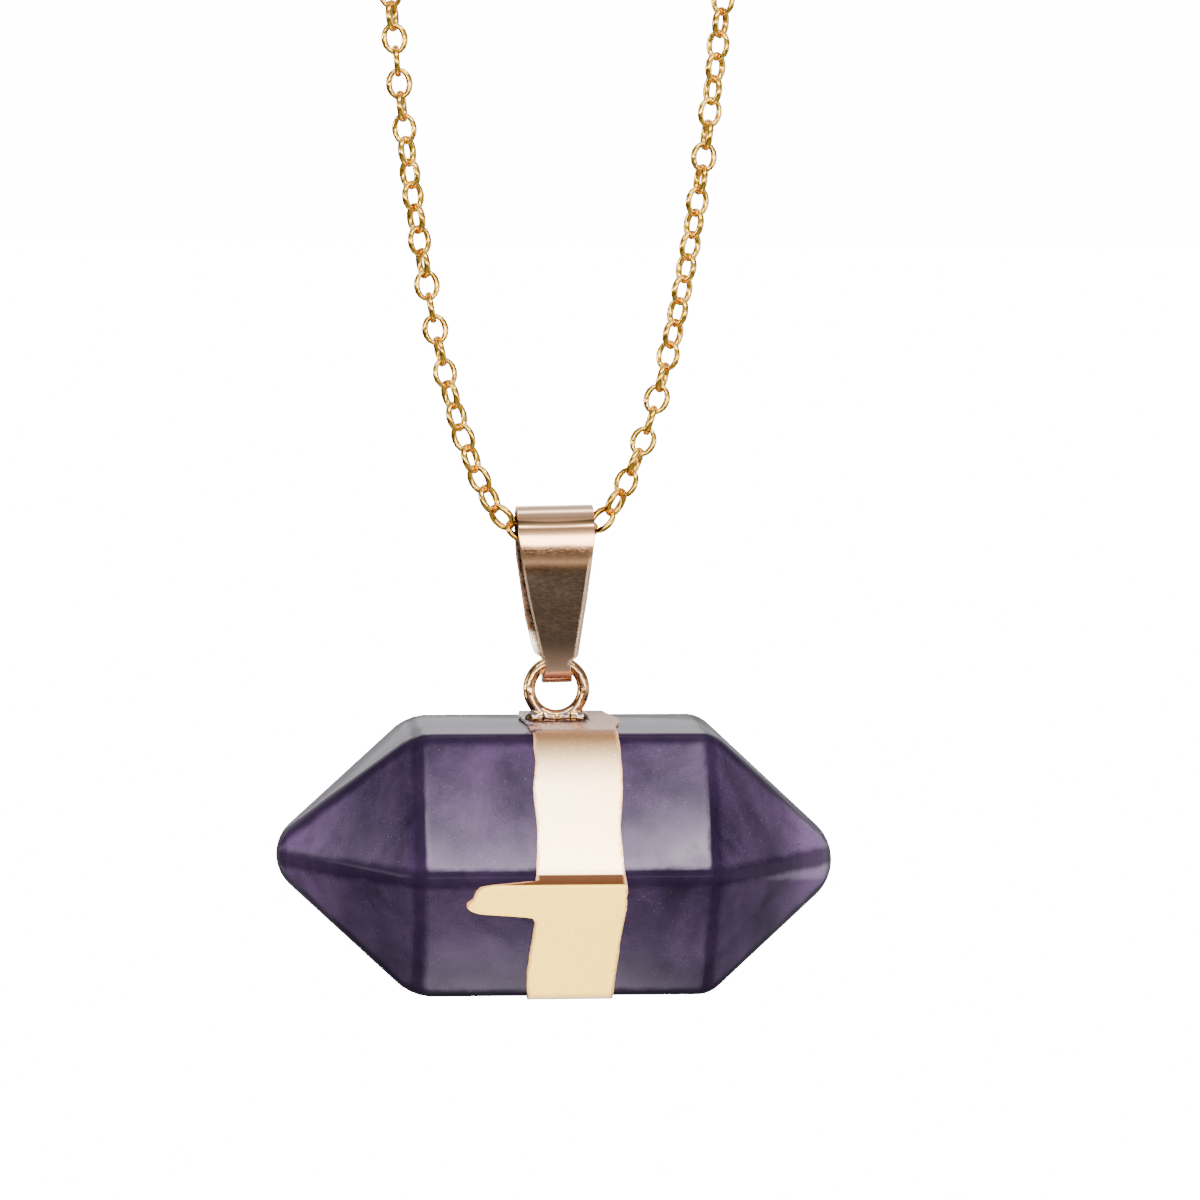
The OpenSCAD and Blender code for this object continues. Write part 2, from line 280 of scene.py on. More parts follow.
class Recipe(NodeSheet):
    """One material's node tree, with a Principled shader."""

    def __init__(self, name: str) -> None:
        """Starts the material.

        Args:
            name: The material's name.
        """
        self.material = bpy.data.materials.new(name)
        self.material.use_nodes = True
        super().__init__(self.material.node_tree)
        self.shader = self.add("ShaderNodeBsdfPrincipled")
        out = self.add("ShaderNodeOutputMaterial")
        self.link(self.shader.outputs["BSDF"], out.inputs["Surface"])
        self.coords = self.add("ShaderNodeTexCoord")

    def noise(self, per_mm: float, detail: float = 4.0, rough: float = 0.55,
              stretch: Sequence[float] = (1.0, 1.0, 1.0), warp: float = 0.0) -> Socket:
        """Adds a noise pattern on the object coordinates.

        Args:
            per_mm: Its scale, in features per millimetre or so.
            detail: Its octaves.
            rough: How strong the finer octaves are.
            stretch: Scale factors of the three axes.
            warp: Its distortion.

        Returns:
            The noise value, about 0.3 to 0.7.
        """
        mapping = self.add("ShaderNodeMapping")
        mapping.inputs["Scale"].default_value = [s * per_mm / MM for s in stretch]
        self.link(self.coords.outputs["Object"], mapping.inputs["Vector"])
        node = self.add("ShaderNodeTexNoise")
        node.inputs["Scale"].default_value = 1.0
        node.inputs["Detail"].default_value = detail
        node.inputs["Roughness"].default_value = rough
        node.inputs["Distortion"].default_value = warp
        self.link(mapping.outputs["Vector"], node.inputs["Vector"])
        return node.outputs["Fac"]

    def attribute(self, name: str) -> Socket:
        """Returns a number that the piece's points carry."""
        return self.add("ShaderNodeAttribute", attribute_name=name).outputs["Fac"]

    def ramp(self, value: Socket, stops: Sequence[tuple[float, Colour]]) -> Socket:
        """Turns a value into colours.

        Args:
            value: The value, 0 to 1 over the ramp.
            stops: Place and colour of each stop, in rising order.

        Returns:
            The colour.
        """
        node = self.add("ShaderNodeValToRGB")
        band = node.color_ramp
        while len(band.elements) < len(stops):
            band.elements.new(0.5)
        for element, (place, colour) in zip(band.elements, stops):
            element.position = place
            element.color = (*colour, 1.0)
        self.link(value, node.inputs["Fac"])
        return node.outputs["Color"]

    def mix(self, share: Socket | float, one: Socket | Sequence[float],
            other: Socket | Sequence[float]) -> Socket:
        """Mixes two colours.

        Args:
            share: How much of the other colour is taken.
            one: A colour or its socket.
            other: A colour or its socket.

        Returns:
            The mixed colour.
        """
        node = self.add("ShaderNodeMix", data_type="RGBA")
        factor, a, b = node.inputs[0], node.inputs[6], node.inputs[7]
        for socket, value in ((factor, share), (a, one), (b, other)):
            if isinstance(value, (int, float)):
                socket.default_value = value
            elif isinstance(value, Socket):
                self.link(value, socket)
            else:
                socket.default_value = (*value, 1.0)
        return node.outputs[2]

    def from_point(self, point: Vector) -> list[Socket]:
        """Measures how far the surface is from a point along each axis.

        Args:
            point: The point, in metres.

        Returns:
            The three distances, in millimetres.
        """
        away = self.add("ShaderNodeVectorMath", operation="SUBTRACT")
        away.inputs[1].default_value = point
        self.link(self.coords.outputs["Object"], away.inputs[0])
        parts = self.add("ShaderNodeSeparateXYZ")
        self.link(away.outputs["Vector"], parts.inputs["Vector"])
        return [self.calc("DIVIDE", parts.outputs[axis], MM) for axis in "XYZ"]

    def crown(self, middle: Vector, radius_mm: float) -> Socket:
        """Makes every flat face a little convex about the foot of a point.

        Args:
            middle: The point, in metres.
            radius_mm: The faces' radius of curvature, in millimetres.

        Returns:
            A height in millimetres.
        """
        x, y, z = self.from_point(middle)
        square = self.calc("MULTIPLY_ADD", x, x, self.calc("MULTIPLY_ADD", y, y, self.times(z, z)))
        return self.times(square, -0.5 / radius_mm)

    def bump(self, *heights: tuple[Socket, float]) -> None:
        """Bumps the surface.

        Args:
            heights: Patterns, each with the millimetres that its value of 1 stands for.
        """
        total: Socket | float = 0.0
        for pattern, depth_mm in heights:
            total = self.calc("MULTIPLY_ADD", pattern, depth_mm, total)
        node = self.add("ShaderNodeBump")
        node.inputs["Distance"].default_value = MM
        self.link(total, node.inputs["Height"])
        self.link(node.outputs["Normal"], self.shader.inputs["Normal"])

    def set(self, **values: float) -> None:
        """Sets uniform numbers straight on the shader; underscores in the names stand for spaces."""
        for name, value in values.items():
            self.shader.inputs[name.replace("_", " ")].default_value = value

    def feed(self, name: str, socket: Socket) -> None:
        """Links a pattern to one of the shader's sockets."""
        self.link(socket, self.shader.inputs[name])


@dataclass(frozen=True)
class MetalFinish:
    """A polished metal with slight colour drift, smears and fine waviness."""

    name: str
    light: Colour
    deep: Colour
    rough: Pair
    drift_per_mm: float = 0.5
    wave_per_mm: float = 1.2
    wave_mm: float = 0.02
    grain_per_mm: float = 14.0
    grain_mm: float = 0.0015
    grain_stretch: Triple = (0.5, 1.0, 1.0)

    def colour(self, r: Recipe) -> Socket:
        """Returns the drifting colour, for a recipe."""
        drift = r.noise(self.drift_per_mm, detail=5.0, warp=0.4)
        return r.ramp(drift, [(0.36, self.deep), (0.6, self.light)])

    def surface(self, r: Recipe, *shapes: tuple[Socket, float]) -> None:
        """Gives the recipe its gloss and bumps.

        Args:
            r: The recipe.
            shapes: Further bumps, as in Recipe.bump.
        """
        r.set(Metallic=1.0)
        smear = r.noise(self.grain_per_mm / 5, detail=3.0, stretch=(1.0, 1.0, 2.5))
        r.feed("Roughness", r.spread(smear, 0.35, 0.68, *self.rough))
        r.bump((r.noise(self.wave_per_mm, detail=1.0), self.wave_mm),
               (r.noise(self.grain_per_mm, detail=3.0, stretch=self.grain_stretch), self.grain_mm),
               *shapes)

    def material(self) -> bpy.types.Material:
        """Mixes the metal's material.

        Returns:
            The material.
        """
        r = Recipe(self.name)
        r.feed("Base Color", self.colour(r))
        self.surface(r)
        return r.material


@dataclass(frozen=True)
class PlatingFinish(MetalFinish):
    """Satin plated gold: pinkish on the top flat, yellow below, tan across its top-front edge, dark
    along the edge between its front flats, copper along its rims.

    It reads how far round the stone a point is, in flats, and its distance from the rim in millimetres.
    The fields that end in ways say where round the stone a colour starts and ends. The stone's middle,
    in metres, is filled in when the band is made.
    """

    middle: Vector = Vector()
    metallic: float = 0.3
    specular: float = 0.15
    crown_mm: float = 62.0
    pad: Colour = (0.21, 0.115, 0.075)
    tan: Colour = (0.060, 0.024, 0.008)
    low: Colour = (0.95, 0.58, 0.09)
    mid_edge_dark: Colour = (0.034, 0.012, 0.004)
    rim: Colour = (0.30, 0.14, 0.07)
    lilac: Colour = (0.36, 0.29, 0.29)
    chip: Colour = (0.03, 0.015, 0.03)
    solder_shadow: Colour = (0.10, 0.05, 0.05)
    left_mm: Pair = (-1.2, -0.4)
    chip_mm: Pair = (0.5, 1.1)
    solder_shadow_x: float = 0.15
    solder_shadow_mm: Pair = (2.55, 2.3)
    solder_shadow_edge: Pair = (0.98, 1.22)
    top_ways: Pair = (0.15, 0.985)
    lilac_ways: Pair = (0.55, 0.80)
    tan_ways: Pair = (1.02, 1.42)
    pad_ways: Pair = (0.90, 1.02)
    low_ways: Pair = (2.03, 2.96)
    edge_ways: Pair = (1.974, 2.030)
    soft_way: float = 0.02
    rim_mm: Pair = (-0.16, 0.10)

    def top_marks(self, r: Recipe, way: Socket, rim: Socket, base: Socket) -> Socket:
        """Adds the top flat's own marks: lilac and chips at the left, and a painted shadow round the
        solder.

        Args:
            r: The recipe.
            way: How far round the stone a point is.
            rim: Its distance from the rim.
            base: The colour so far.

        Returns:
            The marked colour.
        """
        x, y, _ = r.from_point(self.middle)
        top = r.window(way, *self.top_ways, self.soft_way)
        left = r.times(top, r.spread(x, *self.left_mm, 1.0, 0.0))
        base = r.mix(r.times(left, r.spread(way, *self.lilac_ways, 0.9, 0.0)), base, self.lilac)
        flakes = r.times(r.spread(r.noise(1.6, detail=3.0), 0.50, 0.54),
                         r.spread(rim, *self.chip_mm, 1.0, 0.0))
        base = r.mix(r.times(left, flakes), base, self.chip)
        # painted shadow: a dark patch round the solder's foot
        across = r.calc("DIVIDE", r.calc("SUBTRACT", x, self.solder_shadow_x), self.solder_shadow_mm[0])
        away = r.hypot(across, r.calc("DIVIDE", y, self.solder_shadow_mm[1]))
        away = r.calc("MULTIPLY_ADD", r.noise(0.9, detail=3.0), 0.25, away)
        return r.mix(r.times(top, r.spread(away, *self.solder_shadow_edge, 0.9, 0.0)), base, self.solder_shadow)

    def material(self) -> bpy.types.Material:
        """Mixes the plating's material.

        Returns:
            The material.
        """
        r = Recipe(self.name)
        way, rim = r.attribute("way"), r.attribute("rim_mm")
        base = r.mix(r.spread(way, *self.tan_ways, 0.97, 0.0), self.colour(r), self.tan)
        base = r.mix(r.spread(way, *self.pad_ways, 1.0, 0.0), base, self.pad)
        base = r.mix(r.window(way, *self.low_ways, self.soft_way), base, self.low)
        # the edge between the front flats is made dark and almost without gloss
        edge = r.window(way, *self.edge_ways, self.soft_way / 2)
        base = r.mix(edge, base, self.mid_edge_dark)
        ragged = r.calc("MULTIPLY_ADD", r.noise(2.2, detail=3.0), -0.35, rim)
        base = r.mix(r.spread(ragged, *self.rim_mm, 0.85, 0.0), base, self.rim)
        r.feed("Base Color", self.top_marks(r, way, rim, base))
        self.surface(r, (r.crown(self.middle, self.crown_mm), 1.0))
        r.feed("Metallic", r.spread(edge, 0.0, 1.0, self.metallic, 0.05))
        r.feed("Specular IOR Level", r.spread(edge, 0.0, 1.0, self.specular, 0.03))
        return r.material


@dataclass(frozen=True)
class BailFinish(MetalFinish):
    """Polished rose gold, flared towards the ring, with painted reflections: a copper tone and a dark
    line across the fold, and a sheen along its sides.

    It reads, in millimetres, how far a point is below the fold's top and from the strip's nearer side,
    and as -1 to 1 how far it is to the left or right.
    """

    dark_reflection: Colour = (0.10, 0.06, 0.03)
    dark_reflection_mm: Pair = (0.94, 1.16)
    dark_reflection_soft_mm: float = 0.14
    reflection_tone: Colour = (0.84, 0.45, 0.22)
    reflection_tone_mm: Pair = (0.8, 4.3)
    reflection_tone_soft_mm: float = 0.5
    flare_mm: float = 9.3
    flare: float = 0.022
    painted_sheen: Colour = (0.17, 0.118, 0.08)
    margin_mm: Pair = (0.14, 0.42)
    margin_down_mm: Pair = (4.6, 10.2)
    margin_soft_mm: float = 1.6
    sheen_metallic: float = 0.55

    def margins(self, r: Recipe, down: Socket) -> Socket:
        """Finds the painted sheen along the leg's sides; the left one is narrower and fainter.

        Args:
            r: The recipe.
            down: How far below the fold's top a point is.

        Returns:
            0 between the margins, and up to 1 on them.
        """
        hand = r.attribute("hand")
        away = r.times(r.attribute("side_mm"), r.spread(hand, -0.2, 0.2, 1.8, 1.0))
        share = r.times(r.spread(away, *self.margin_mm, 1.0, 0.0), r.spread(hand, -0.2, 0.2, 0.35, 1.0))
        return r.times(share, r.window(down, *self.margin_down_mm, self.margin_soft_mm))

    def material(self) -> bpy.types.Material:
        """Mixes the bail's material.

        Returns:
            The material.
        """
        r = Recipe(self.name)
        down = r.attribute("down_mm")
        # painted reflection: a copper tone across the fold
        old = r.times(r.window(down, *self.reflection_tone_mm, self.reflection_tone_soft_mm), 0.9)
        base = r.mix(old, self.colour(r), self.reflection_tone)
        # painted dark reflection: a dark line across the fold
        base = r.mix(r.window(down, *self.dark_reflection_mm, self.dark_reflection_soft_mm), base, self.dark_reflection)
        # painted highlight: lighter, less metallic strips along the leg's sides
        margins = self.margins(r, down)
        r.feed("Base Color", r.mix(margins, base, self.painted_sheen))
        low = r.calc("MAXIMUM", r.calc("SUBTRACT", down, self.flare_mm), 0.0)
        self.surface(r, (r.calc("POWER", low, 2.0), -self.flare))
        r.feed("Metallic", r.spread(margins, 0.0, 1.0, 1.0, self.sheen_metallic))
        return r.material


@dataclass(frozen=True)
class InnerFinish(MetalFinish):
    """The bail's inside, with painted shade: dark under the fold, and painted light towards the ring."""

    painted_light: Colour = (1.0, 0.78, 0.58)
    painted_light_mm: Pair = (9.0, 9.5)
    painted_light_peak: float = 0.95

    def colour(self, r: Recipe) -> Socket:
        """Returns the inside's colour, for a recipe."""
        lit = r.spread(r.attribute("down_mm"), *self.painted_light_mm, 0.0, self.painted_light_peak)
        return r.mix(lit, super().colour(r), self.painted_light)


@dataclass(frozen=True)
class RingFinish(MetalFinish):
    """The eye ring's gold, grey in patches where the solder meets the plating, with painted shade at the
    solder's foot.
    """

    skin_z: float = 0.0
    foot_shade: Colour = (0.12, 0.06, 0.045)
    ash: Colour = (0.34, 0.30, 0.31)
    ash_mm: Pair = (0.5, 1.3)
    foot_mm: Pair = (-0.15, 0.15)

    def material(self) -> bpy.types.Material:
        """Mixes the ring's material.

        Returns:
            The material.
        """
        r = Recipe(self.name)
        rise = r.from_point(Vector((0.0, 0.0, self.skin_z)))[2]
        patch = r.noise(1.3, detail=4.0, warp=0.5)
        grey = r.times(r.spread(patch, 0.5, 0.6), r.spread(rise, *self.ash_mm, 1.0, 0.0))
        base = r.mix(grey, self.colour(r), self.ash)
        # painted shade: the solder darkens towards where it meets the plating
        foot = r.calc("MULTIPLY_ADD", patch, -0.5, rise)
        base = r.mix(r.spread(foot, *self.foot_mm, 1.0, 0.0), base, self.foot_shade)
        r.feed("Base Color", base)
        self.surface(r)
        return r.material


@dataclass(frozen=True)
class StoneFinish:
    """Deep purple crystal: mottled veils, painted shade along its edges, painted light at its tips, with
    slightly convex faces.
    """

    middle: Vector
    name: str = "purple_crystal"
    dark: Colour = (0.0035, 0.0019, 0.0055)
    main: Colour = (0.0100, 0.0055, 0.0145)
    light: Colour = (0.0200, 0.0112, 0.0260)
    speck: Colour = (0.05, 0.035, 0.065)
    tint: tuple[float, float, float, float] = (0.95, 0.80, 1.0, 1.0)
    crown_mm: float = 62.0
    gloss: float = 0.35
    tip_glow: Colour = (0.062, 0.034, 0.080)
    body_x: float = 0.15
    body_half: float = 10.35
    flat: float = 9.45
    edge_shade_mm: Pair = (0.35, 1.0)
    shoulder_shade_mm: Pair = (0.15, 0.75)
    tip_glow_mm: Pair = (14.5, 19.5)
    top_under_mm: Pair = (0.16, 0.03)

    def edges(self, r: Recipe) -> Socket:
        """Tells the faces from the long edges and shoulders, which get painted shade.

        Args:
            r: The recipe.

        Returns:
            1 on the faces, and less along the edges.
        """
        x, y, z = r.from_point(self.middle)
        angle = r.calc("PINGPONG", r.calc("ARCTAN2", y, z), HALF_FLAT)
        long_edge = r.times(r.calc("SUBTRACT", HALF_FLAT, angle), r.hypot(y, z))
        out = r.calc("ABSOLUTE", r.calc("SUBTRACT", x, self.body_x))
        shoulder = r.calc("ABSOLUTE", r.calc("SUBTRACT", out, self.body_half))
        wander = r.calc("MULTIPLY_ADD", r.noise(0.7, detail=3.0), 0.5, -0.25)
        top_from, top_to = (self.flat - under for under in self.top_under_mm)
        # painted shade: the long edges and shoulders are darkened, except near the height of the top
        # flat
        shade = r.calc("MAXIMUM", r.spread(r.calc("ADD", long_edge, wander), *self.edge_shade_mm, 0.25, 1.0),
                       r.spread(z, top_from, top_to))
        return r.times(shade, r.spread(r.calc("ADD", shoulder, wander), *self.shoulder_shade_mm, 0.35, 1.0))

    def material(self) -> bpy.types.Material:
        """Mixes the stone's material.

        Returns:
            The material.
        """
        r = Recipe(self.name)
        r.set(IOR=1.55, Specular_Tint=self.tint)
        veil = r.noise(0.10, detail=6.0, rough=0.6, warp=0.9)
        cloud = r.noise(0.35, detail=5.0, rough=0.62, stretch=(1.0, 1.3, 0.8), warp=0.3)
        both = r.calc("MULTIPLY_ADD", cloud, 0.45, r.times(veil, 0.55))
        base = r.ramp(both, [(0.38, self.dark), (0.5, self.main), (0.66, self.light)])
        grain = r.noise(6.0, detail=2.0, rough=0.5)
        base = r.mix(r.spread(grain, 0.66, 0.74, 0.0, 0.35), base, self.speck)
        # painted light: lighter purple towards the tips, stronger at the right, stands for light showing
        # through the thin ends
        along = r.calc("SUBTRACT", r.from_point(self.middle)[0], self.body_x)
        end = r.times(r.spread(r.calc("ABSOLUTE", along), *self.tip_glow_mm),
                      r.spread(along, -1.0, 1.0, 0.45, 0.9))
        base = r.mix(r.times(end, r.spread(cloud, 0.3, 0.6, 0.5, 1.0)), base, self.tip_glow)
        # painted shade: along the edges the colour goes to dark and the gloss drops
        faces = self.edges(r)
        r.feed("Base Color", r.mix(faces, self.dark, base))
        r.feed("Specular IOR Level", r.spread(faces, 0.25, 1.0, 0.03, self.gloss))
        haze = r.noise(0.8, detail=4.0)
        r.feed("Roughness", r.spread(haze, 0.35, 0.7, 0.10, 0.17))
        r.bump((r.crown(self.middle, self.crown_mm), 1.0), (r.noise(0.16, detail=1.5), 0.08))
        return r.material


CHAIN_GOLD = MetalFinish("chain_gold", light=(1.0, 0.60, 0.08), deep=(0.84, 0.43, 0.04),
                         rough=(0.08, 0.16), drift_per_mm=0.15, wave_per_mm=1.0, wave_mm=0.04)
BAIL_GOLD = BailFinish("bail_gold", light=(0.88, 0.57, 0.38), deep=(0.78, 0.48, 0.31),
                       rough=(0.07, 0.12), drift_per_mm=0.2, wave_per_mm=0.30, wave_mm=0.02,
                       grain_mm=0.0002, grain_stretch=(1.0, 1.0, 0.3))
# painted shade: the inside's dark colours stand for the shade under the fold
BAIL_INSIDE = InnerFinish("bail_inside", light=(0.20, 0.115, 0.065), deep=(0.11, 0.06, 0.035),
                          rough=(0.16, 0.26), drift_per_mm=0.4)
BAND_GOLD = PlatingFinish("plated_gold", light=(1.0, 0.72, 0.42), deep=(1.0, 0.66, 0.34),
                          rough=(0.20, 0.28), drift_per_mm=0.12, wave_per_mm=0.3, wave_mm=0.04,
                          grain_mm=0.0006, grain_stretch=(1.0, 0.3, 0.3))
RING_GOLD = RingFinish("ring_gold", light=(0.74, 0.42, 0.18), deep=(0.40, 0.20, 0.08),
                       rough=(0.08, 0.18), drift_per_mm=0.6, wave_per_mm=1.5, wave_mm=0.05)


# the camera and studio


@dataclass
class PhotoCamera:
    """The camera that the photograph was taken with, found from the stone's corners."""

    stone_middle: Vector
    yaw: float = -5.2
    pitch: float = 6.43
    roll: float = 0.5
    distance: float = 324.0
    mm_per_px: float = 0.072
    middle_px: Pair = (555.0, 853.2)
    frame_px: float = 1200.0
    sensor_mm: float = 36.0

    def make(self) -> bpy.types.Object:
        """Creates the camera and makes it the scene's own.

        Returns:
            The camera.
        """
        yaw, pitch, roll = (math.radians(a) for a in (self.yaw, self.pitch, self.roll))
        back = Vector((math.sin(yaw) * math.cos(pitch), -math.cos(yaw) * math.cos(pitch),
                       math.sin(pitch)))
        level = Vector((math.cos(yaw), math.sin(yaw), 0.0))
        rise = back.cross(level)
        if rise.z < 0:
            rise.negate()
        right = level * math.cos(roll) + rise * math.sin(roll)
        up = rise * math.cos(roll) - level * math.sin(roll)
        half = self.frame_px / 2
        spot = (back * self.distance - right * (self.middle_px[0] - half) * self.mm_per_px
                + up * (self.middle_px[1] - half) * self.mm_per_px)
        data = bpy.data.cameras.new("photo_camera")
        data.sensor_width = data.sensor_height = self.sensor_mm
        data.sensor_fit = "HORIZONTAL"
        data.lens = self.sensor_mm * self.distance / (self.frame_px * self.mm_per_px)
        data.clip_start, data.clip_end = 0.01, 20.0
        camera = bpy.data.objects.new("photo_camera", data)
        turn = Matrix((right, up, back)).transposed().to_4x4()
        camera.matrix_world = Matrix.Translation(self.stone_middle + spot * MM) @ turn
        bpy.context.scene.collection.objects.link(camera)
        bpy.context.scene.camera = camera
        return camera


@dataclass
class Studio:
    """Soft light tent: what the surfaces mirror goes by height, and the camera sees plain white.

    The glow tables hold the sine of the height in the sky and the brightness there. The front one
    is for the side that the camera stands on. The fields that end in x, y and z say between which
    parts of a unit direction one glow gives way to the next. The lamps' rows are name, place from
    the stone's middle and size in millimetres, and power in watts.
    """

    stone_middle: Vector
    floor_drop: float = 90.0
    white: float = 20.0
    floor_dimmer: float = 3.5
    floor_half_m: float = 4.0
    front_glow: Rows = (
        (-1.00, 5.50), (-0.97, 3.70), (-0.93, 1.15), (-0.88, 0.50), (-0.70, 0.55), (-0.55, 0.55),
        (-0.46, 0.30), (-0.38, 0.12), (-0.32, 0.11), (-0.295, 0.35), (-0.255, 1.10), (-0.22, 0.50),
        (-0.18, 0.26), (-0.115, 0.28), (-0.080, 0.80), (-0.058, 16.0), (0.03, 17.0), (0.065, 6.5),
        (0.125, 3.20), (0.20, 2.10), (0.30, 1.20), (0.45, 0.60), (0.54, 1.20), (0.595, 8.0),
        (0.64, 21.0), (0.68, 13.0), (0.72, 6.5), (0.76, 4.0), (0.80, 2.8), (0.84, 1.8),
        (0.87, 1.00), (0.90, 0.95), (0.95, 0.60), (1.00, 0.85))
    back_glow: Rows = (
        (-1.00, 0.70), (-0.60, 0.40), (-0.20, 0.40), (0.02, 0.60), (0.07, 1.35), (0.18, 1.35),
        (0.30, 2.20), (0.45, 3.20), (0.60, 1.20), (0.70, 0.90), (0.88, 1.80), (0.95, 8.50),
        (0.98, 2.80), (1.00, 0.85))
    left_glow: Rows = (
        (-1.00, 0.60), (-0.60, 0.30), (-0.45, 0.12), (0.10, 0.10), (0.30, 0.22), (0.60, 0.22),
        (1.00, 0.65))
    right_glow: Rows = (
        (-1.00, 0.60), (-0.60, 0.28), (-0.40, 0.35), (-0.33, 1.80), (-0.02, 1.80), (0.07, 0.80),
        (0.20, 0.36), (0.60, 0.36), (1.00, 0.65))
    flank_x: Pair = (-0.48, 0.52)
    stronger_x: Pair = (0.15, 0.40)
    left_x: Pair = (-0.88, -0.64)
    right_x: Pair = (0.50, 0.80)
    back_y: Pair = (-0.1, 0.4)
    upper_z: Pair = (0.4, 0.6)
    lamps: tuple[tuple[str, Triple, Pair, float], ...] = (
        ("front_box", (0.0, -345.0, -60.0), (240.0, 200.0), 5.0),
        ("upper_box", (0.0, -280.0, 230.0), (200.0, 160.0), 6.5),
        ("left_box", (-400.0, -160.0, 60.0), (160.0, 240.0), 1.2),
        ("right_box", (400.0, -160.0, 60.0), (160.0, 240.0), 1.4))

    def world(self) -> None:
        """Gives the scene its surroundings."""
        world = bpy.data.worlds.new("studio")
        world.use_nodes = True
        sheet = NodeSheet(world.node_tree)
        where = sheet.add("ShaderNodeTexCoord")
        parts = sheet.add("ShaderNodeSeparateXYZ")
        sheet.link(where.outputs["Generated"], parts.inputs["Vector"])
        x, y, z = (parts.outputs[axis] for axis in "XYZ")
        flank = sheet.times(sheet.spread(x, *self.stronger_x, 1.0, 1.4),
                            sheet.window(x, *self.flank_x, 0.10))
        lift = sheet.calc("ADD", sheet.times(flank, sheet.spread(z, *self.upper_z)),
                          sheet.spread(z, *self.upper_z, 1.0, 0.0))
        level = sheet.times(sheet.table(z, self.front_glow), lift)
        for share, rows in ((sheet.spread(y, *self.back_y), self.back_glow),
                            (sheet.window(x, *self.left_x, 0.09), self.left_glow),
                            (sheet.spread(x, *self.right_x), self.right_glow)):
            step = sheet.add("ShaderNodeMix", data_type="FLOAT")
            sheet.link(share, step.inputs[0])
            sheet.link(level, step.inputs[2])
            sheet.link(sheet.table(z, rows), step.inputs[3])
            level = step.outputs[0]
        room = sheet.add("ShaderNodeBackground")
        sheet.link(level, room.inputs["Strength"])
        plain = sheet.add("ShaderNodeBackground")
        plain.inputs["Strength"].default_value = self.white
        path = sheet.add("ShaderNodeLightPath")
        choose = sheet.add("ShaderNodeMixShader")
        sheet.link(path.outputs["Is Camera Ray"], choose.inputs[0])
        sheet.link(room.outputs[0], choose.inputs[1])
        sheet.link(plain.outputs[0], choose.inputs[2])
        out = sheet.add("ShaderNodeOutputWorld")
        sheet.link(choose.outputs[0], out.inputs["Surface"])
        bpy.context.scene.world = world

    def floor(self) -> bpy.types.Object:
        """Lays the floor below the stone, as white as the air behind it.

        Returns:
            The floor.
        """
        bm = bmesh.new()
        bmesh.ops.create_grid(bm, x_segments=2, y_segments=2, size=self.floor_half_m)
        drop = Vector((0.0, 0.0, self.stone_middle.z - self.floor_drop * MM))
        bmesh.ops.translate(bm, verts=bm.verts, vec=drop)
        floor = finish_mesh(bm, "floor", smooth=False)
        recipe = Recipe("pale_floor")
        recipe.set(Base_Color=(0.8, 0.8, 0.8, 1.0), Roughness=0.9, Specular_IOR_Level=0.0,
                   Emission_Color=(1.0, 1.0, 1.0, 1.0),
                   Emission_Strength=self.white - self.floor_dimmer)
        floor.data.materials.append(recipe.material)
        floor.visible_glossy = floor.visible_diffuse = False
        return floor

    def lamp(self, name: str, spot: Triple, size: Pair, watts: float) -> None:
        """Hangs a soft box that looks at the stone.

        Args:
            name: The lamp's name.
            spot: Its place from the stone's middle, in millimetres.
            size: Width and height of its face, in millimetres.
            watts: Its power.
        """
        data = bpy.data.lights.new(name, "AREA")
        data.shape, data.size, data.size_y = "RECTANGLE", size[0] * MM, size[1] * MM
        data.energy = watts
        lamp = bpy.data.objects.new(name, data)
        away = Vector(spot)
        lamp.matrix_world = (Matrix.Translation(self.stone_middle + away * MM)
                             @ away.to_track_quat("Z", "Y").to_matrix().to_4x4())
        lamp.visible_glossy = False
        bpy.context.scene.collection.objects.link(lamp)

    def make(self) -> None:
        """Sets up the surroundings, the floor and the lamps."""
        self.world()
        self.floor()
        for row in self.lamps:
            self.lamp(*row)


# the pieces


@dataclass
class CrystalStone:
    """The six-sided stone with two points, smoothed over its rounded edges."""

    node: bpy.types.Object
    finish: StoneFinish
    merge_mm: float = 0.005
    flat_deg: float = 0.6

    def make(self) -> bpy.types.Object:
        """Makes the stone from a merged copy of its solid.

        Returns:
            The stone.
        """
        bm = bmesh.new()
        bm.from_mesh(self.node.data)
        bmesh.ops.remove_doubles(bm, verts=bm.verts, dist=self.merge_mm * MM)
        bmesh.ops.dissolve_limit(bm, angle_limit=math.radians(self.flat_deg),
                                 verts=bm.verts, edges=bm.edges)
        stone = finish_mesh(bm, "crystal_stone")
        add_modifier(stone, "WEIGHTED_NORMAL", weight=100, keep_sharp=False)
        stone.data.materials.append(self.finish.material())
        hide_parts("stone")
        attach(stone, Body.PENDANT.value)
        return stone


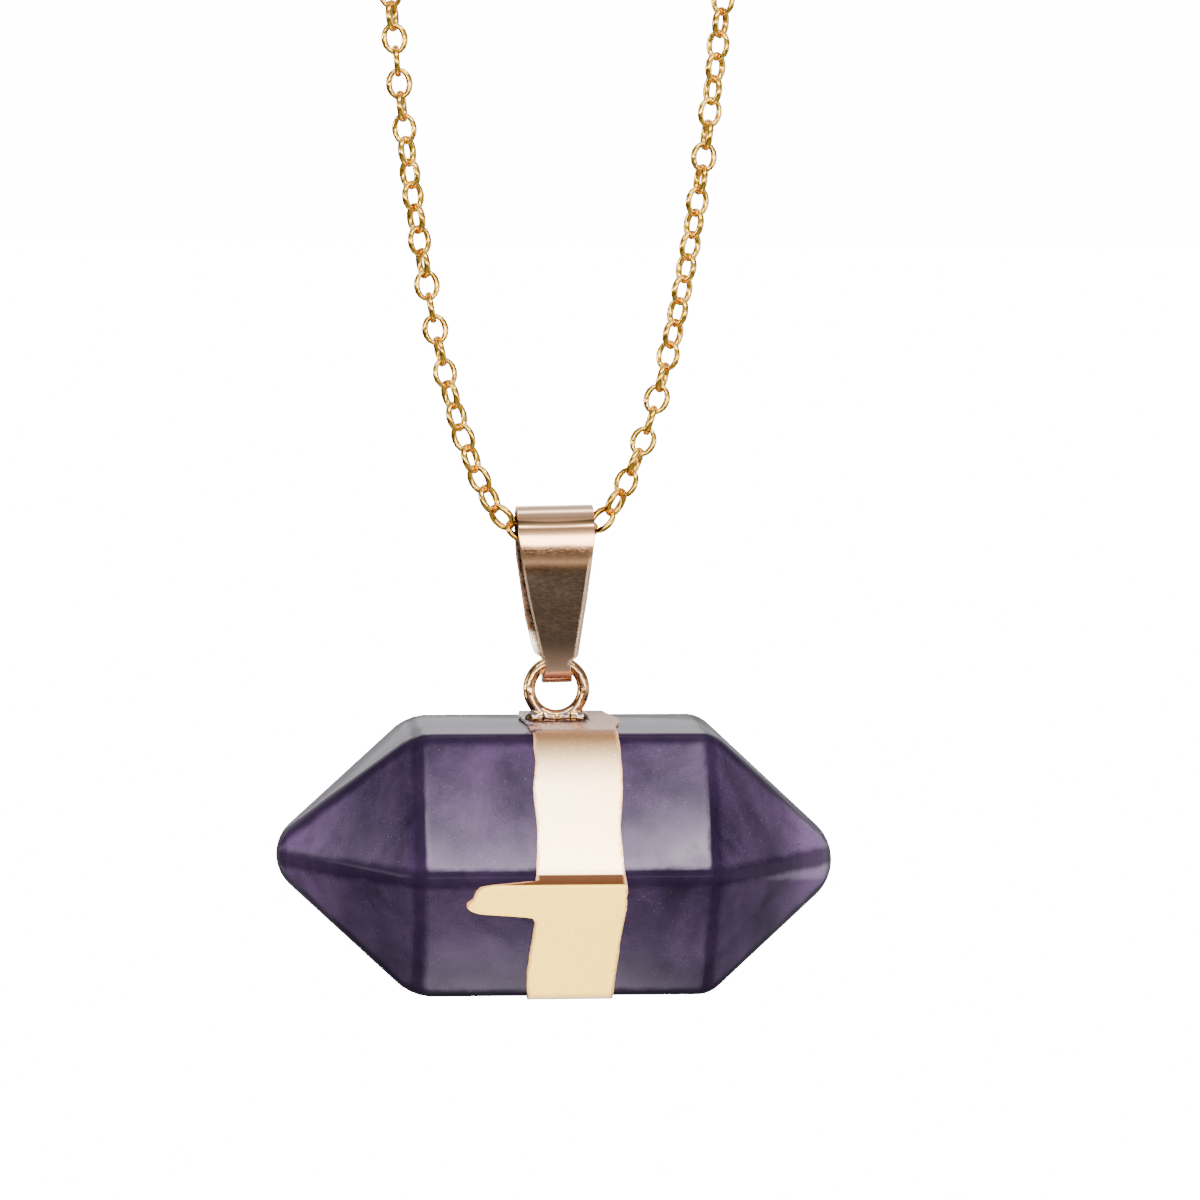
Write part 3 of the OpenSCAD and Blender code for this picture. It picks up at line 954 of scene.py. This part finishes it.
@dataclass
class PlatedBand:
    """The plating that wraps the stone, with wandering edges and a drip at the lower front.

    Distances round the stone are counted in flats, from the back edge of the top flat to the front.
    The edges' rows are way, left and right edge; the drip's are way and left edge. A ragged row is
    how far the rims stray and how fine the pattern is that they follow.
    """

    middle: Vector
    flat: float = 9.45
    edge_r: float = 1.2
    air: float = 0.05
    thick: float = 0.2
    off: float = 0.9
    around: int = 420
    across: int = 26
    edges: tuple[Triple, ...] = (
        (0.00, -3.15, 2.75), (0.25, -3.45, 3.20), (0.45, -3.25, 3.65), (0.60, -3.05, 3.55),
        (0.80, -3.10, 3.05), (1.00, -3.00, 3.00), (1.16, -2.88, 3.20), (1.38, -3.09, 3.22),
        (1.66, -2.91, 2.95), (1.95, -3.02, 3.10), (2.05, -3.15, 3.36), (2.22, -3.00, 3.40),
        (2.47, -3.12, 3.13), (2.69, -3.35, 2.98), (2.90, -3.38, 2.88), (3.00, -3.20, 2.82),
        (3.30, -3.10, 3.05), (3.65, -3.02, 2.92), (4.00, -3.15, 3.10), (4.35, -2.98, 3.22),
        (4.70, -3.10, 3.00), (5.00, -3.05, 2.90), (5.35, -3.20, 3.05), (5.70, -3.02, 2.95),
        (6.00, -3.15, 2.75))
    drip: Rows = (
        (2.010, -3.10), (2.030, -5.60), (2.050, -6.90), (2.090, -7.28), (2.150, -7.46), (2.185, -7.86),
        (2.215, -7.86), (2.245, -7.50), (2.268, -6.90), (2.285, -4.80), (2.300, -3.20), (2.340, -3.05))
    blend: float = 0.05
    drip_blend: float = 0.008
    drip_steps: int = 96
    drip_step: float = 0.0035
    ragged: Rows = ((0.07, 8.6), (0.03, 30.0))
    bevel: float = 0.06

    def surface(self, way: float, height: float) -> Vector:
        """Finds a point of the wrapped skin.

        Args:
            way: Distance round the stone, in flats.
            height: How far the point is off the stone's surface.

        Returns:
            The point's y and z from the stone's middle, as (0, y, z).
        """
        i = math.floor(way)
        half = self.flat * math.tan(HALF_FLAT)
        straight = (self.flat - self.edge_r) * math.tan(HALF_FLAT)
        v = (way - i - 0.5) * 2 * half
        if abs(v) <= straight:
            point = Vector((0.0, -v, self.flat + height))
        else:
            side = math.copysign(1.0, v)
            turn = HALF_FLAT * (abs(v) - straight) / (half - straight)
            r = self.edge_r + height
            point = Vector((0.0, -side * (straight + r * math.sin(turn)),
                            self.flat - self.edge_r + r * math.cos(turn)))
        return Matrix.Rotation(math.radians(60 * i), 3, "X") @ point

    def left_edge(self, way: float) -> float:
        """Finds the left edge, with the drip.

        Args:
            way: Distance round the stone, in flats.

        Returns:
            The edge's place along the stone.
        """
        edge = smooth_lookup(way, self.edges, 1, self.blend)
        if self.drip[0][0] < way < self.drip[-1][0]:
            edge = min(edge, smooth_lookup(way, self.drip, 1, self.drip_blend))
        return edge

    def right_edge(self, way: float) -> float:
        """Returns the right edge at a distance round the stone."""
        return smooth_lookup(way, self.edges, 2, self.blend)

    def ways(self) -> list[float]:
        """Lists the stations round the stone, closer together along the drip.

        Returns:
            Rising distances, in flats.
        """
        plain = [6.0 * i / self.around for i in range(self.around)]
        fine = [self.drip[0][0] + self.drip_step * i for i in range(self.drip_steps)]
        room = 0.004
        return sorted([w for w in plain if not fine[0] - room < w < fine[-1] + room] + fine)

    def mark(self, mesh: bpy.types.Mesh) -> None:
        """Notes on every point how far round the stone it is and how far from the rim.

        Args:
            mesh: The wrapped skin.
        """
        way = mesh.attributes.new("way", "FLOAT", "POINT")
        rim = mesh.attributes.new("rim_mm", "FLOAT", "POINT")
        for v, way_out, rim_out in zip(mesh.vertices, way.data, rim.data):
            spot = (v.co - self.middle) / MM
            turned = (math.degrees(math.atan2(-spot.y, spot.z)) / 60 + 0.5) % 6
            x = spot.x - self.off
            way_out.value = turned
            rim_out.value = min(x - self.left_edge(turned), self.right_edge(turned) - x)

    def make(self) -> bpy.types.Object:
        """Wraps a grid round the stone, gives it its thickness and rounds its rims.

        Returns:
            The plating.
        """
        ways = self.ways()
        bm = bmesh.new()
        bmesh.ops.create_grid(bm, x_segments=len(ways), y_segments=self.across, size=0.5)
        outer = self.air + self.thick
        for v in bm.verts:
            k = round((v.co.x + 0.5) * len(ways))
            share = v.co.y + 0.5
            way = ways[k % len(ways)]
            point = self.surface(way, outer)
            left, right = self.left_edge(way), self.right_edge(way)
            turn = math.radians(60 * way)
            spot = Vector((math.cos(turn), math.sin(turn), round(share)))
            stray = sum(far * noise.noise(spot * fine) for far, fine in self.ragged)
            x = self.off + left + (right - left) * share + stray * abs(2 * share - 1) ** 6
            v.co = self.middle + Vector((x, point.y, point.z)) * MM
        bmesh.ops.remove_doubles(bm, verts=bm.verts, dist=SEAM_MM * MM)
        band = finish_mesh(bm, "plated_band")
        self.mark(band.data)
        add_modifier(band, "SOLIDIFY", thickness=self.thick * MM, offset=-1.0)
        round_rims(band, self.bevel, 2)
        band.data.materials.append(replace(BAND_GOLD, middle=self.middle).material())
        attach(band, Body.PENDANT.value)
        return band


@dataclass
class EyeRing:
    """The wire ring that carries the stone, and the solder that joins it to the plating.

    The rows of blobs are x, y, height above the skin, radius and how flat each is.
    """

    middle: Vector
    outer: float = 4.8
    wire: float = 0.9
    skin: float = 9.7
    dip: float = 0.15
    blobs: tuple[tuple[float, float, float, float, float], ...] = (
        (-1.55, 0.00, 0.05, 0.70, 1.0), (-1.20, -0.10, 0.25, 0.52, 1.0),
        (-1.75, -0.15, -0.02, 0.46, 0.8), (1.70, 0.00, 0.05, 0.68, 1.0),
        (1.25, -0.05, 0.28, 0.55, 1.0), (1.85, -0.15, 0.00, 0.42, 0.8),
        (-0.60, 0.00, 0.32, 0.48, 0.7), (0.70, 0.00, 0.32, 0.50, 0.7),
        (0.05, 0.00, 0.20, 0.50, 0.8), (-1.05, -0.10, -0.06, 1.25, 0.20),
        (1.10, -0.05, -0.06, 1.35, 0.19), (0.10, 0.05, -0.05, 1.30, 0.15))
    voxel: float = 0.05
    wire_steps: int = 24
    ring_steps: int = 96
    ball_steps: tuple[int, int] = (40, 24)

    @property
    def centre_z(self) -> float:
        """Height of the ring's middle, as in the solid."""
        return self.skin - self.dip + self.outer / 2

    def ring(self, bm: bmesh.types.BMesh) -> None:
        """Adds the wire ring, spun about its middle.

        Args:
            bm: The mesh that it is added to.
        """
        r = (self.outer - self.wire) / 2
        centre = self.middle + Vector((0.0, 0.0, self.centre_z)) * MM
        made = bmesh.ops.create_circle(bm, segments=self.wire_steps, radius=self.wire / 2 * MM)
        bmesh.ops.translate(bm, verts=made["verts"], vec=centre + Vector((r, 0.0, 0.0)) * MM)
        edges = list(dict.fromkeys(e for v in made["verts"] for e in v.link_edges))
        bmesh.ops.spin(bm, geom=made["verts"] + edges, cent=centre, axis=(0.0, 1.0, 0.0),
                       angle=2 * math.pi, steps=self.ring_steps, use_merge=True)

    def make(self) -> bpy.types.Object:
        """Joins the ring and its solder into one flowing shape.

        Returns:
            The ring.
        """
        bm = bmesh.new()
        self.ring(bm)
        round_steps, tall_steps = self.ball_steps
        for x, y, z, r, flat in self.blobs:
            blob = bmesh.ops.create_uvsphere(bm, u_segments=round_steps, v_segments=tall_steps,
                                             radius=1.0)
            place = (Matrix.Translation(self.middle + Vector((x, y, self.skin + z)) * MM)
                     @ Matrix.Diagonal((r * MM, r * MM, r * flat * MM, 1.0)))
            bmesh.ops.transform(bm, matrix=place, verts=blob["verts"])
        ring = finish_mesh(bm, "eye_ring")
        add_modifier(ring, "REMESH", mode="VOXEL", voxel_size=self.voxel * MM, use_smooth_shade=True)
        add_modifier(ring, "SMOOTH", factor=0.5, iterations=5)
        apply_modifiers(ring)
        skin_z = self.middle.z + self.skin * MM
        ring.data.materials.append(replace(RING_GOLD, skin_z=skin_z).material())
        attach(ring, Body.PENDANT.value)
        return ring


@dataclass
class FoldedBail:
    """The tapered strip, folded over the chain and bent round the eye ring.

    The taper's rows are the share of the height, the front and the back leg's half width, and the
    front leg's shift to the right, the last three as shares of the width.
    """

    pivot: Vector
    height: float = 12.75
    width: float = 5.5
    sheet: float = 0.35
    fold_r: float = 2.08
    bend_r: float = 1.2
    ease_from: float = 4.0
    ease_mm: float = 2.4
    dark_reflection_sag: float = 0.10
    lean: float = 1.25
    top: float = 11.25
    blend: float = 0.008
    bevel: float = 0.13
    across: int = 14
    fold_steps: int = 30
    ease_steps: int = 12
    leg_steps: int = 24
    bend_steps: int = 14
    taper: tuple[tuple[float, float, float, float], ...] = (
        (0.000, 0.500, 0.500, 0.000), (0.165, 0.495, 0.498, 0.000), (0.300, 0.458, 0.486, 0.000),
        (0.400, 0.424, 0.455, 0.002), (0.525, 0.378, 0.420, 0.007), (0.645, 0.325, 0.385, 0.015),
        (0.800, 0.257, 0.305, 0.027), (0.846, 0.238, 0.270, 0.031), (0.856, 0.212, 0.222, 0.022),
        (0.870, 0.176, 0.178, 0.008), (0.890, 0.162, 0.162, 0.000), (0.915, 0.168, 0.168, 0.000),
        (0.945, 0.187, 0.187, 0.000), (1.000, 0.196, 0.196, 0.000))

    def half(self) -> list[Pair]:
        """Finds one leg's outer line, from the top of the fold to the lowest point of the bend.

        The round fold eases into the flat leg, and the flat leg touches the round bend.

        Returns:
            Points as (outwards, z), with z from the top.
        """
        start, top = math.radians(self.ease_from), math.pi / 2
        arc = [top + (start - top) * i / self.fold_steps for i in range(self.fold_steps + 1)]
        fold = [(self.fold_r * math.cos(e), self.fold_r * (math.sin(e) - 1)) for e in arc]
        bend_z = -self.height + self.bend_r

        def eased(end: float) -> list[Pair]:
            """Eases the fold's end into the flat leg's slope.

            Args:
                end: The flat leg's slope, in radians.

            Returns:
                Points as (outwards, z).
            """
            out, z = fold[-1]
            points, step = [], self.ease_mm / self.ease_steps
            for i in range(self.ease_steps):
                e = start + (end - start) * (i + 0.5) / self.ease_steps
                out, z = out + step * math.sin(e), z - step * math.cos(e)
                points.append((out, z))
            return points

        # the leg's slope is found by halving what lies between a steep one and upright
        steep, level = math.radians(-15.0), 0.0
        for _ in range(40):
            end = (steep + level) / 2
            out, z = eased(end)[-1]
            gap = out * math.cos(end) + (z - bend_z) * math.sin(end) - self.bend_r
            steep, level = (steep, end) if gap > 0 else (end, level)
        ease = eased(end)
        down = [end + (-top - end) * i / self.bend_steps for i in range(self.bend_steps + 1)]
        bend = [(self.bend_r * math.cos(e), bend_z + self.bend_r * math.sin(e)) for e in down]
        (out, z), (to_out, to_z) = ease[-1], bend[0]
        shares = [i / self.leg_steps for i in range(1, self.leg_steps + 1)]
        leg = [(out + (to_out - out) * s, z + (to_z - z) * s) for s in shares]
        return fold + ease + leg + bend[1:]

    def path(self) -> list[tuple[float, float, Side]]:
        """Lists the strip's side view round the closed belt.

        Returns:
            Points as (y, z, leg), with z from the top.
        """
        half = self.half()
        front = [(-out, z, Side.FRONT) for out, z in half]
        back = [(out, z, Side.BACK) for out, z in reversed(half[1:-1])]
        return front + back

    def reach(self, z: float, leg: Side) -> Pair:
        """Finds how wide the strip is at a height.

        Args:
            z: The height, from the top.
            leg: The leg.

        Returns:
            The half width, and how far the strip's middle is shifted to the right.
        """
        share = -z / self.height
        half = self.width * smooth_lookup(share, self.taper, leg.value, self.blend)
        shift = self.width * smooth_lookup(share, self.taper, 3, self.blend)
        return half, shift if leg is Side.FRONT else 0.0

    def make(self) -> bpy.types.Object:
        """Bends a grid along the belt, cuts it to the taper and gives it its thickness.

        Returns:
            The bail.
        """
        path = self.path()
        bm = bmesh.new()
        bmesh.ops.create_grid(bm, x_segments=len(path), y_segments=self.across, size=0.5)
        down = bm.verts.layers.float.new("down_mm")
        from_side = bm.verts.layers.float.new("side_mm")
        hand = bm.verts.layers.float.new("hand")
        stand = (Matrix.Translation(self.pivot) @ Matrix.Rotation(math.radians(-self.lean), 4, "Y")
                 @ Matrix.Translation(Vector((0.0, 0.0, self.top)) * MM))
        for v in bm.verts:
            y, z, leg = path[round((v.co.x + 0.5) * len(path)) % len(path)]
            half, shift = self.reach(z, leg)
            # the sag bends the painted dark reflection line across the fold
            v[down] = -z - self.dark_reflection_sag * (1 - (2 * v.co.y) ** 2)
            v[from_side], v[hand] = half - abs(2 * half * v.co.y), 2 * v.co.y
            v.co = stand @ (Vector((shift + 2 * half * v.co.y, y, z)) * MM)
        bmesh.ops.remove_doubles(bm, verts=bm.verts, dist=SEAM_MM * MM)
        bail = finish_mesh(bm, "folded_bail")
        add_modifier(bail, "SOLIDIFY", thickness=self.sheet * MM, offset=-1.0, material_offset=1)
        round_rims(bail, self.bevel, 3)
        for finish in (BAIL_GOLD, BAIL_INSIDE):
            bail.data.materials.append(finish.material())
        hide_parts("bail")
        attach(bail, Body.BAIL.value)
        return bail


@dataclass
class ChainLinks:
    """All links of the chain as wire ovals, each on the frame of its solid."""

    nodes: Sequence[bpy.types.Object]
    gold: bpy.types.Material
    inner: float = 1.60
    wide: float = 1.93
    wire: float = 0.46
    end_wire: float = 0.34
    deep: float = 0.42
    steps: int = 16
    merge_mm: float = 0.002

    def frames(self) -> list[Matrix]:
        """Finds each loose solid's middle, long side and face, from its own points.

        Returns:
            One matrix a link, with its long side on X and its face on Z.
        """
        found: list[Matrix] = []
        for node in self.nodes:
            bm = bmesh.new()
            bm.from_mesh(node.data)
            bmesh.ops.remove_doubles(bm, verts=bm.verts, dist=self.merge_mm * MM)
            left = dict.fromkeys(bm.verts)
            while left:
                start = next(iter(left))
                del left[start]
                group, edge = [start], [start]
                while edge:
                    for e in edge.pop().link_edges:
                        for v in e.verts:
                            if v in left:
                                del left[v]
                                group.append(v)
                                edge.append(v)
                found.append(self.frame_of([v.co for v in group]))
            bm.free()
        return found

    @staticmethod
    def frame_of(points: Sequence[Vector]) -> Matrix:
        """Finds the frame of one link from its points.

        Args:
            points: The points, in metres.

        Returns:
            Its place and turn, with its long side on X and its face on Z.
        """
        middle = sum(points, Vector()) / len(points)
        rays = [p - middle for p in points]
        far = max(rays, key=lambda ray: ray.length_squared)
        ends = [ray for ray in rays if abs(ray.dot(far)) > 0.8 * far.length_squared]
        long = sum((ray * math.copysign(1.0, ray.dot(far)) for ray in ends), Vector()).normalized()
        offs = [ray - long * ray.dot(long) for ray in rays]
        side = max(offs, key=lambda off: off.length_squared).normalized()
        near = [off for off in offs
                if abs(off.normalized().dot(side)) > 0.8 and off.length > 0.5 * MM]
        side = sum((off * math.copysign(1.0, off.dot(side)) for off in near), Vector()).normalized()
        face = long.cross(side)
        return Matrix.Translation(middle) @ Matrix((long, face.cross(long), face)).transposed().to_4x4()

    def one_link(self) -> bpy.types.Mesh:
        """Spins a six-sided wire section into a ring and draws the ring out to the link's oval.

        Returns:
            The link's mesh, with its long side on X and its face on Z.
        """
        bm = bmesh.new()
        section = bmesh.ops.create_circle(bm, segments=6, radius=0.5)["verts"]
        bmesh.ops.rotate(bm, verts=section, cent=Vector(), matrix=Matrix.Rotation(math.pi / 6, 3, "Z"))
        flats = [v for v in section if abs(v.co.y) > 0.3]
        bmesh.ops.scale(bm, verts=flats, vec=(1.15, 1.0 / math.cos(math.pi / 6), 1.0))
        spin_r = 2.0
        lay = Matrix.Translation(Vector((spin_r, 0.0, 0.0))) @ Matrix.Rotation(math.pi / 2, 4, "X")
        bmesh.ops.transform(bm, matrix=lay, verts=section)
        edges = list(dict.fromkeys(e for v in section for e in v.link_edges))
        bmesh.ops.spin(bm, geom=section + edges, cent=Vector(), axis=(0.0, 0.0, 1.0),
                       angle=2 * math.pi, steps=self.steps, use_merge=True)
        long = (self.inner + self.end_wire) / 2
        short = (self.wide - self.wire) / 2
        for v in bm.verts:
            turn, off = math.atan2(v.co.y, v.co.x), math.hypot(v.co.x, v.co.y) - spin_r
            out = Vector((short * math.cos(turn), long * math.sin(turn), 0.0)).normalized()
            thick = self.end_wire + (self.wire - self.end_wire) * math.sin(turn) ** 2
            centre = Vector((long * math.cos(turn), short * math.sin(turn), v.co.z * self.deep))
            v.co = (centre + out * off * thick) * MM
        bmesh.ops.recalc_face_normals(bm, faces=bm.faces)
        mesh = bpy.data.meshes.new("one_link")
        bm.to_mesh(mesh)
        bm.free()
        return mesh

    def make(self) -> bpy.types.Object:
        """Sets a link on every frame and joins them in one piece.

        Returns:
            The chain.
        """
        one = self.one_link()
        bm = bmesh.new()
        for place in self.frames():
            first = len(bm.verts)
            bm.from_mesh(one)
            bm.verts.ensure_lookup_table()
            bmesh.ops.transform(bm, matrix=place, verts=bm.verts[first:])
        bpy.data.meshes.remove(one)
        chain = finish_mesh(bm, "chain_links")
        chain.data.materials.append(self.gold)
        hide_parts(*[n.name for n in self.nodes])
        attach(chain, Body.NECKLACE.value)
        return chain


def main() -> None:
    """Builds the necklace's pieces in order, then the studio and the camera."""
    logging.basicConfig(level=logging.INFO, format="%(name)s: %(message)s")
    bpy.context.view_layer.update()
    nodes: dict[str, bpy.types.Object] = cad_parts
    low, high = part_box("stone")
    middle = (low + high) / 2
    gold = CHAIN_GOLD.material()
    ring = EyeRing(middle)
    wire_top = ring.centre_z + (ring.outer - ring.wire) / 2
    makers: dict[str, Callable[[], bpy.types.Object]] = {
        "stone": CrystalStone(nodes["stone"], StoneFinish(middle)).make,
        "plating": PlatedBand(middle).make,
        "eye ring": ring.make,
        "bail": FoldedBail(middle + Vector((0.0, 0.0, wire_top)) * MM).make,
        "chain": ChainLinks([nodes["chain_left"], nodes["chain_right"]], gold).make,
    }
    pieces = {name: make() for name, make in makers.items()}
    for name, piece in pieces.items():
        log.info("%s: %d points", name, len(piece.data.vertices))
    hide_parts("gold_band")
    clasp = nodes["clasp"]
    clasp.data.materials.clear()
    clasp.data.materials.append(gold)
    Studio(middle).make()
    PhotoCamera(middle).make()
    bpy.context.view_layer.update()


if __name__ == "__main__":
    main()
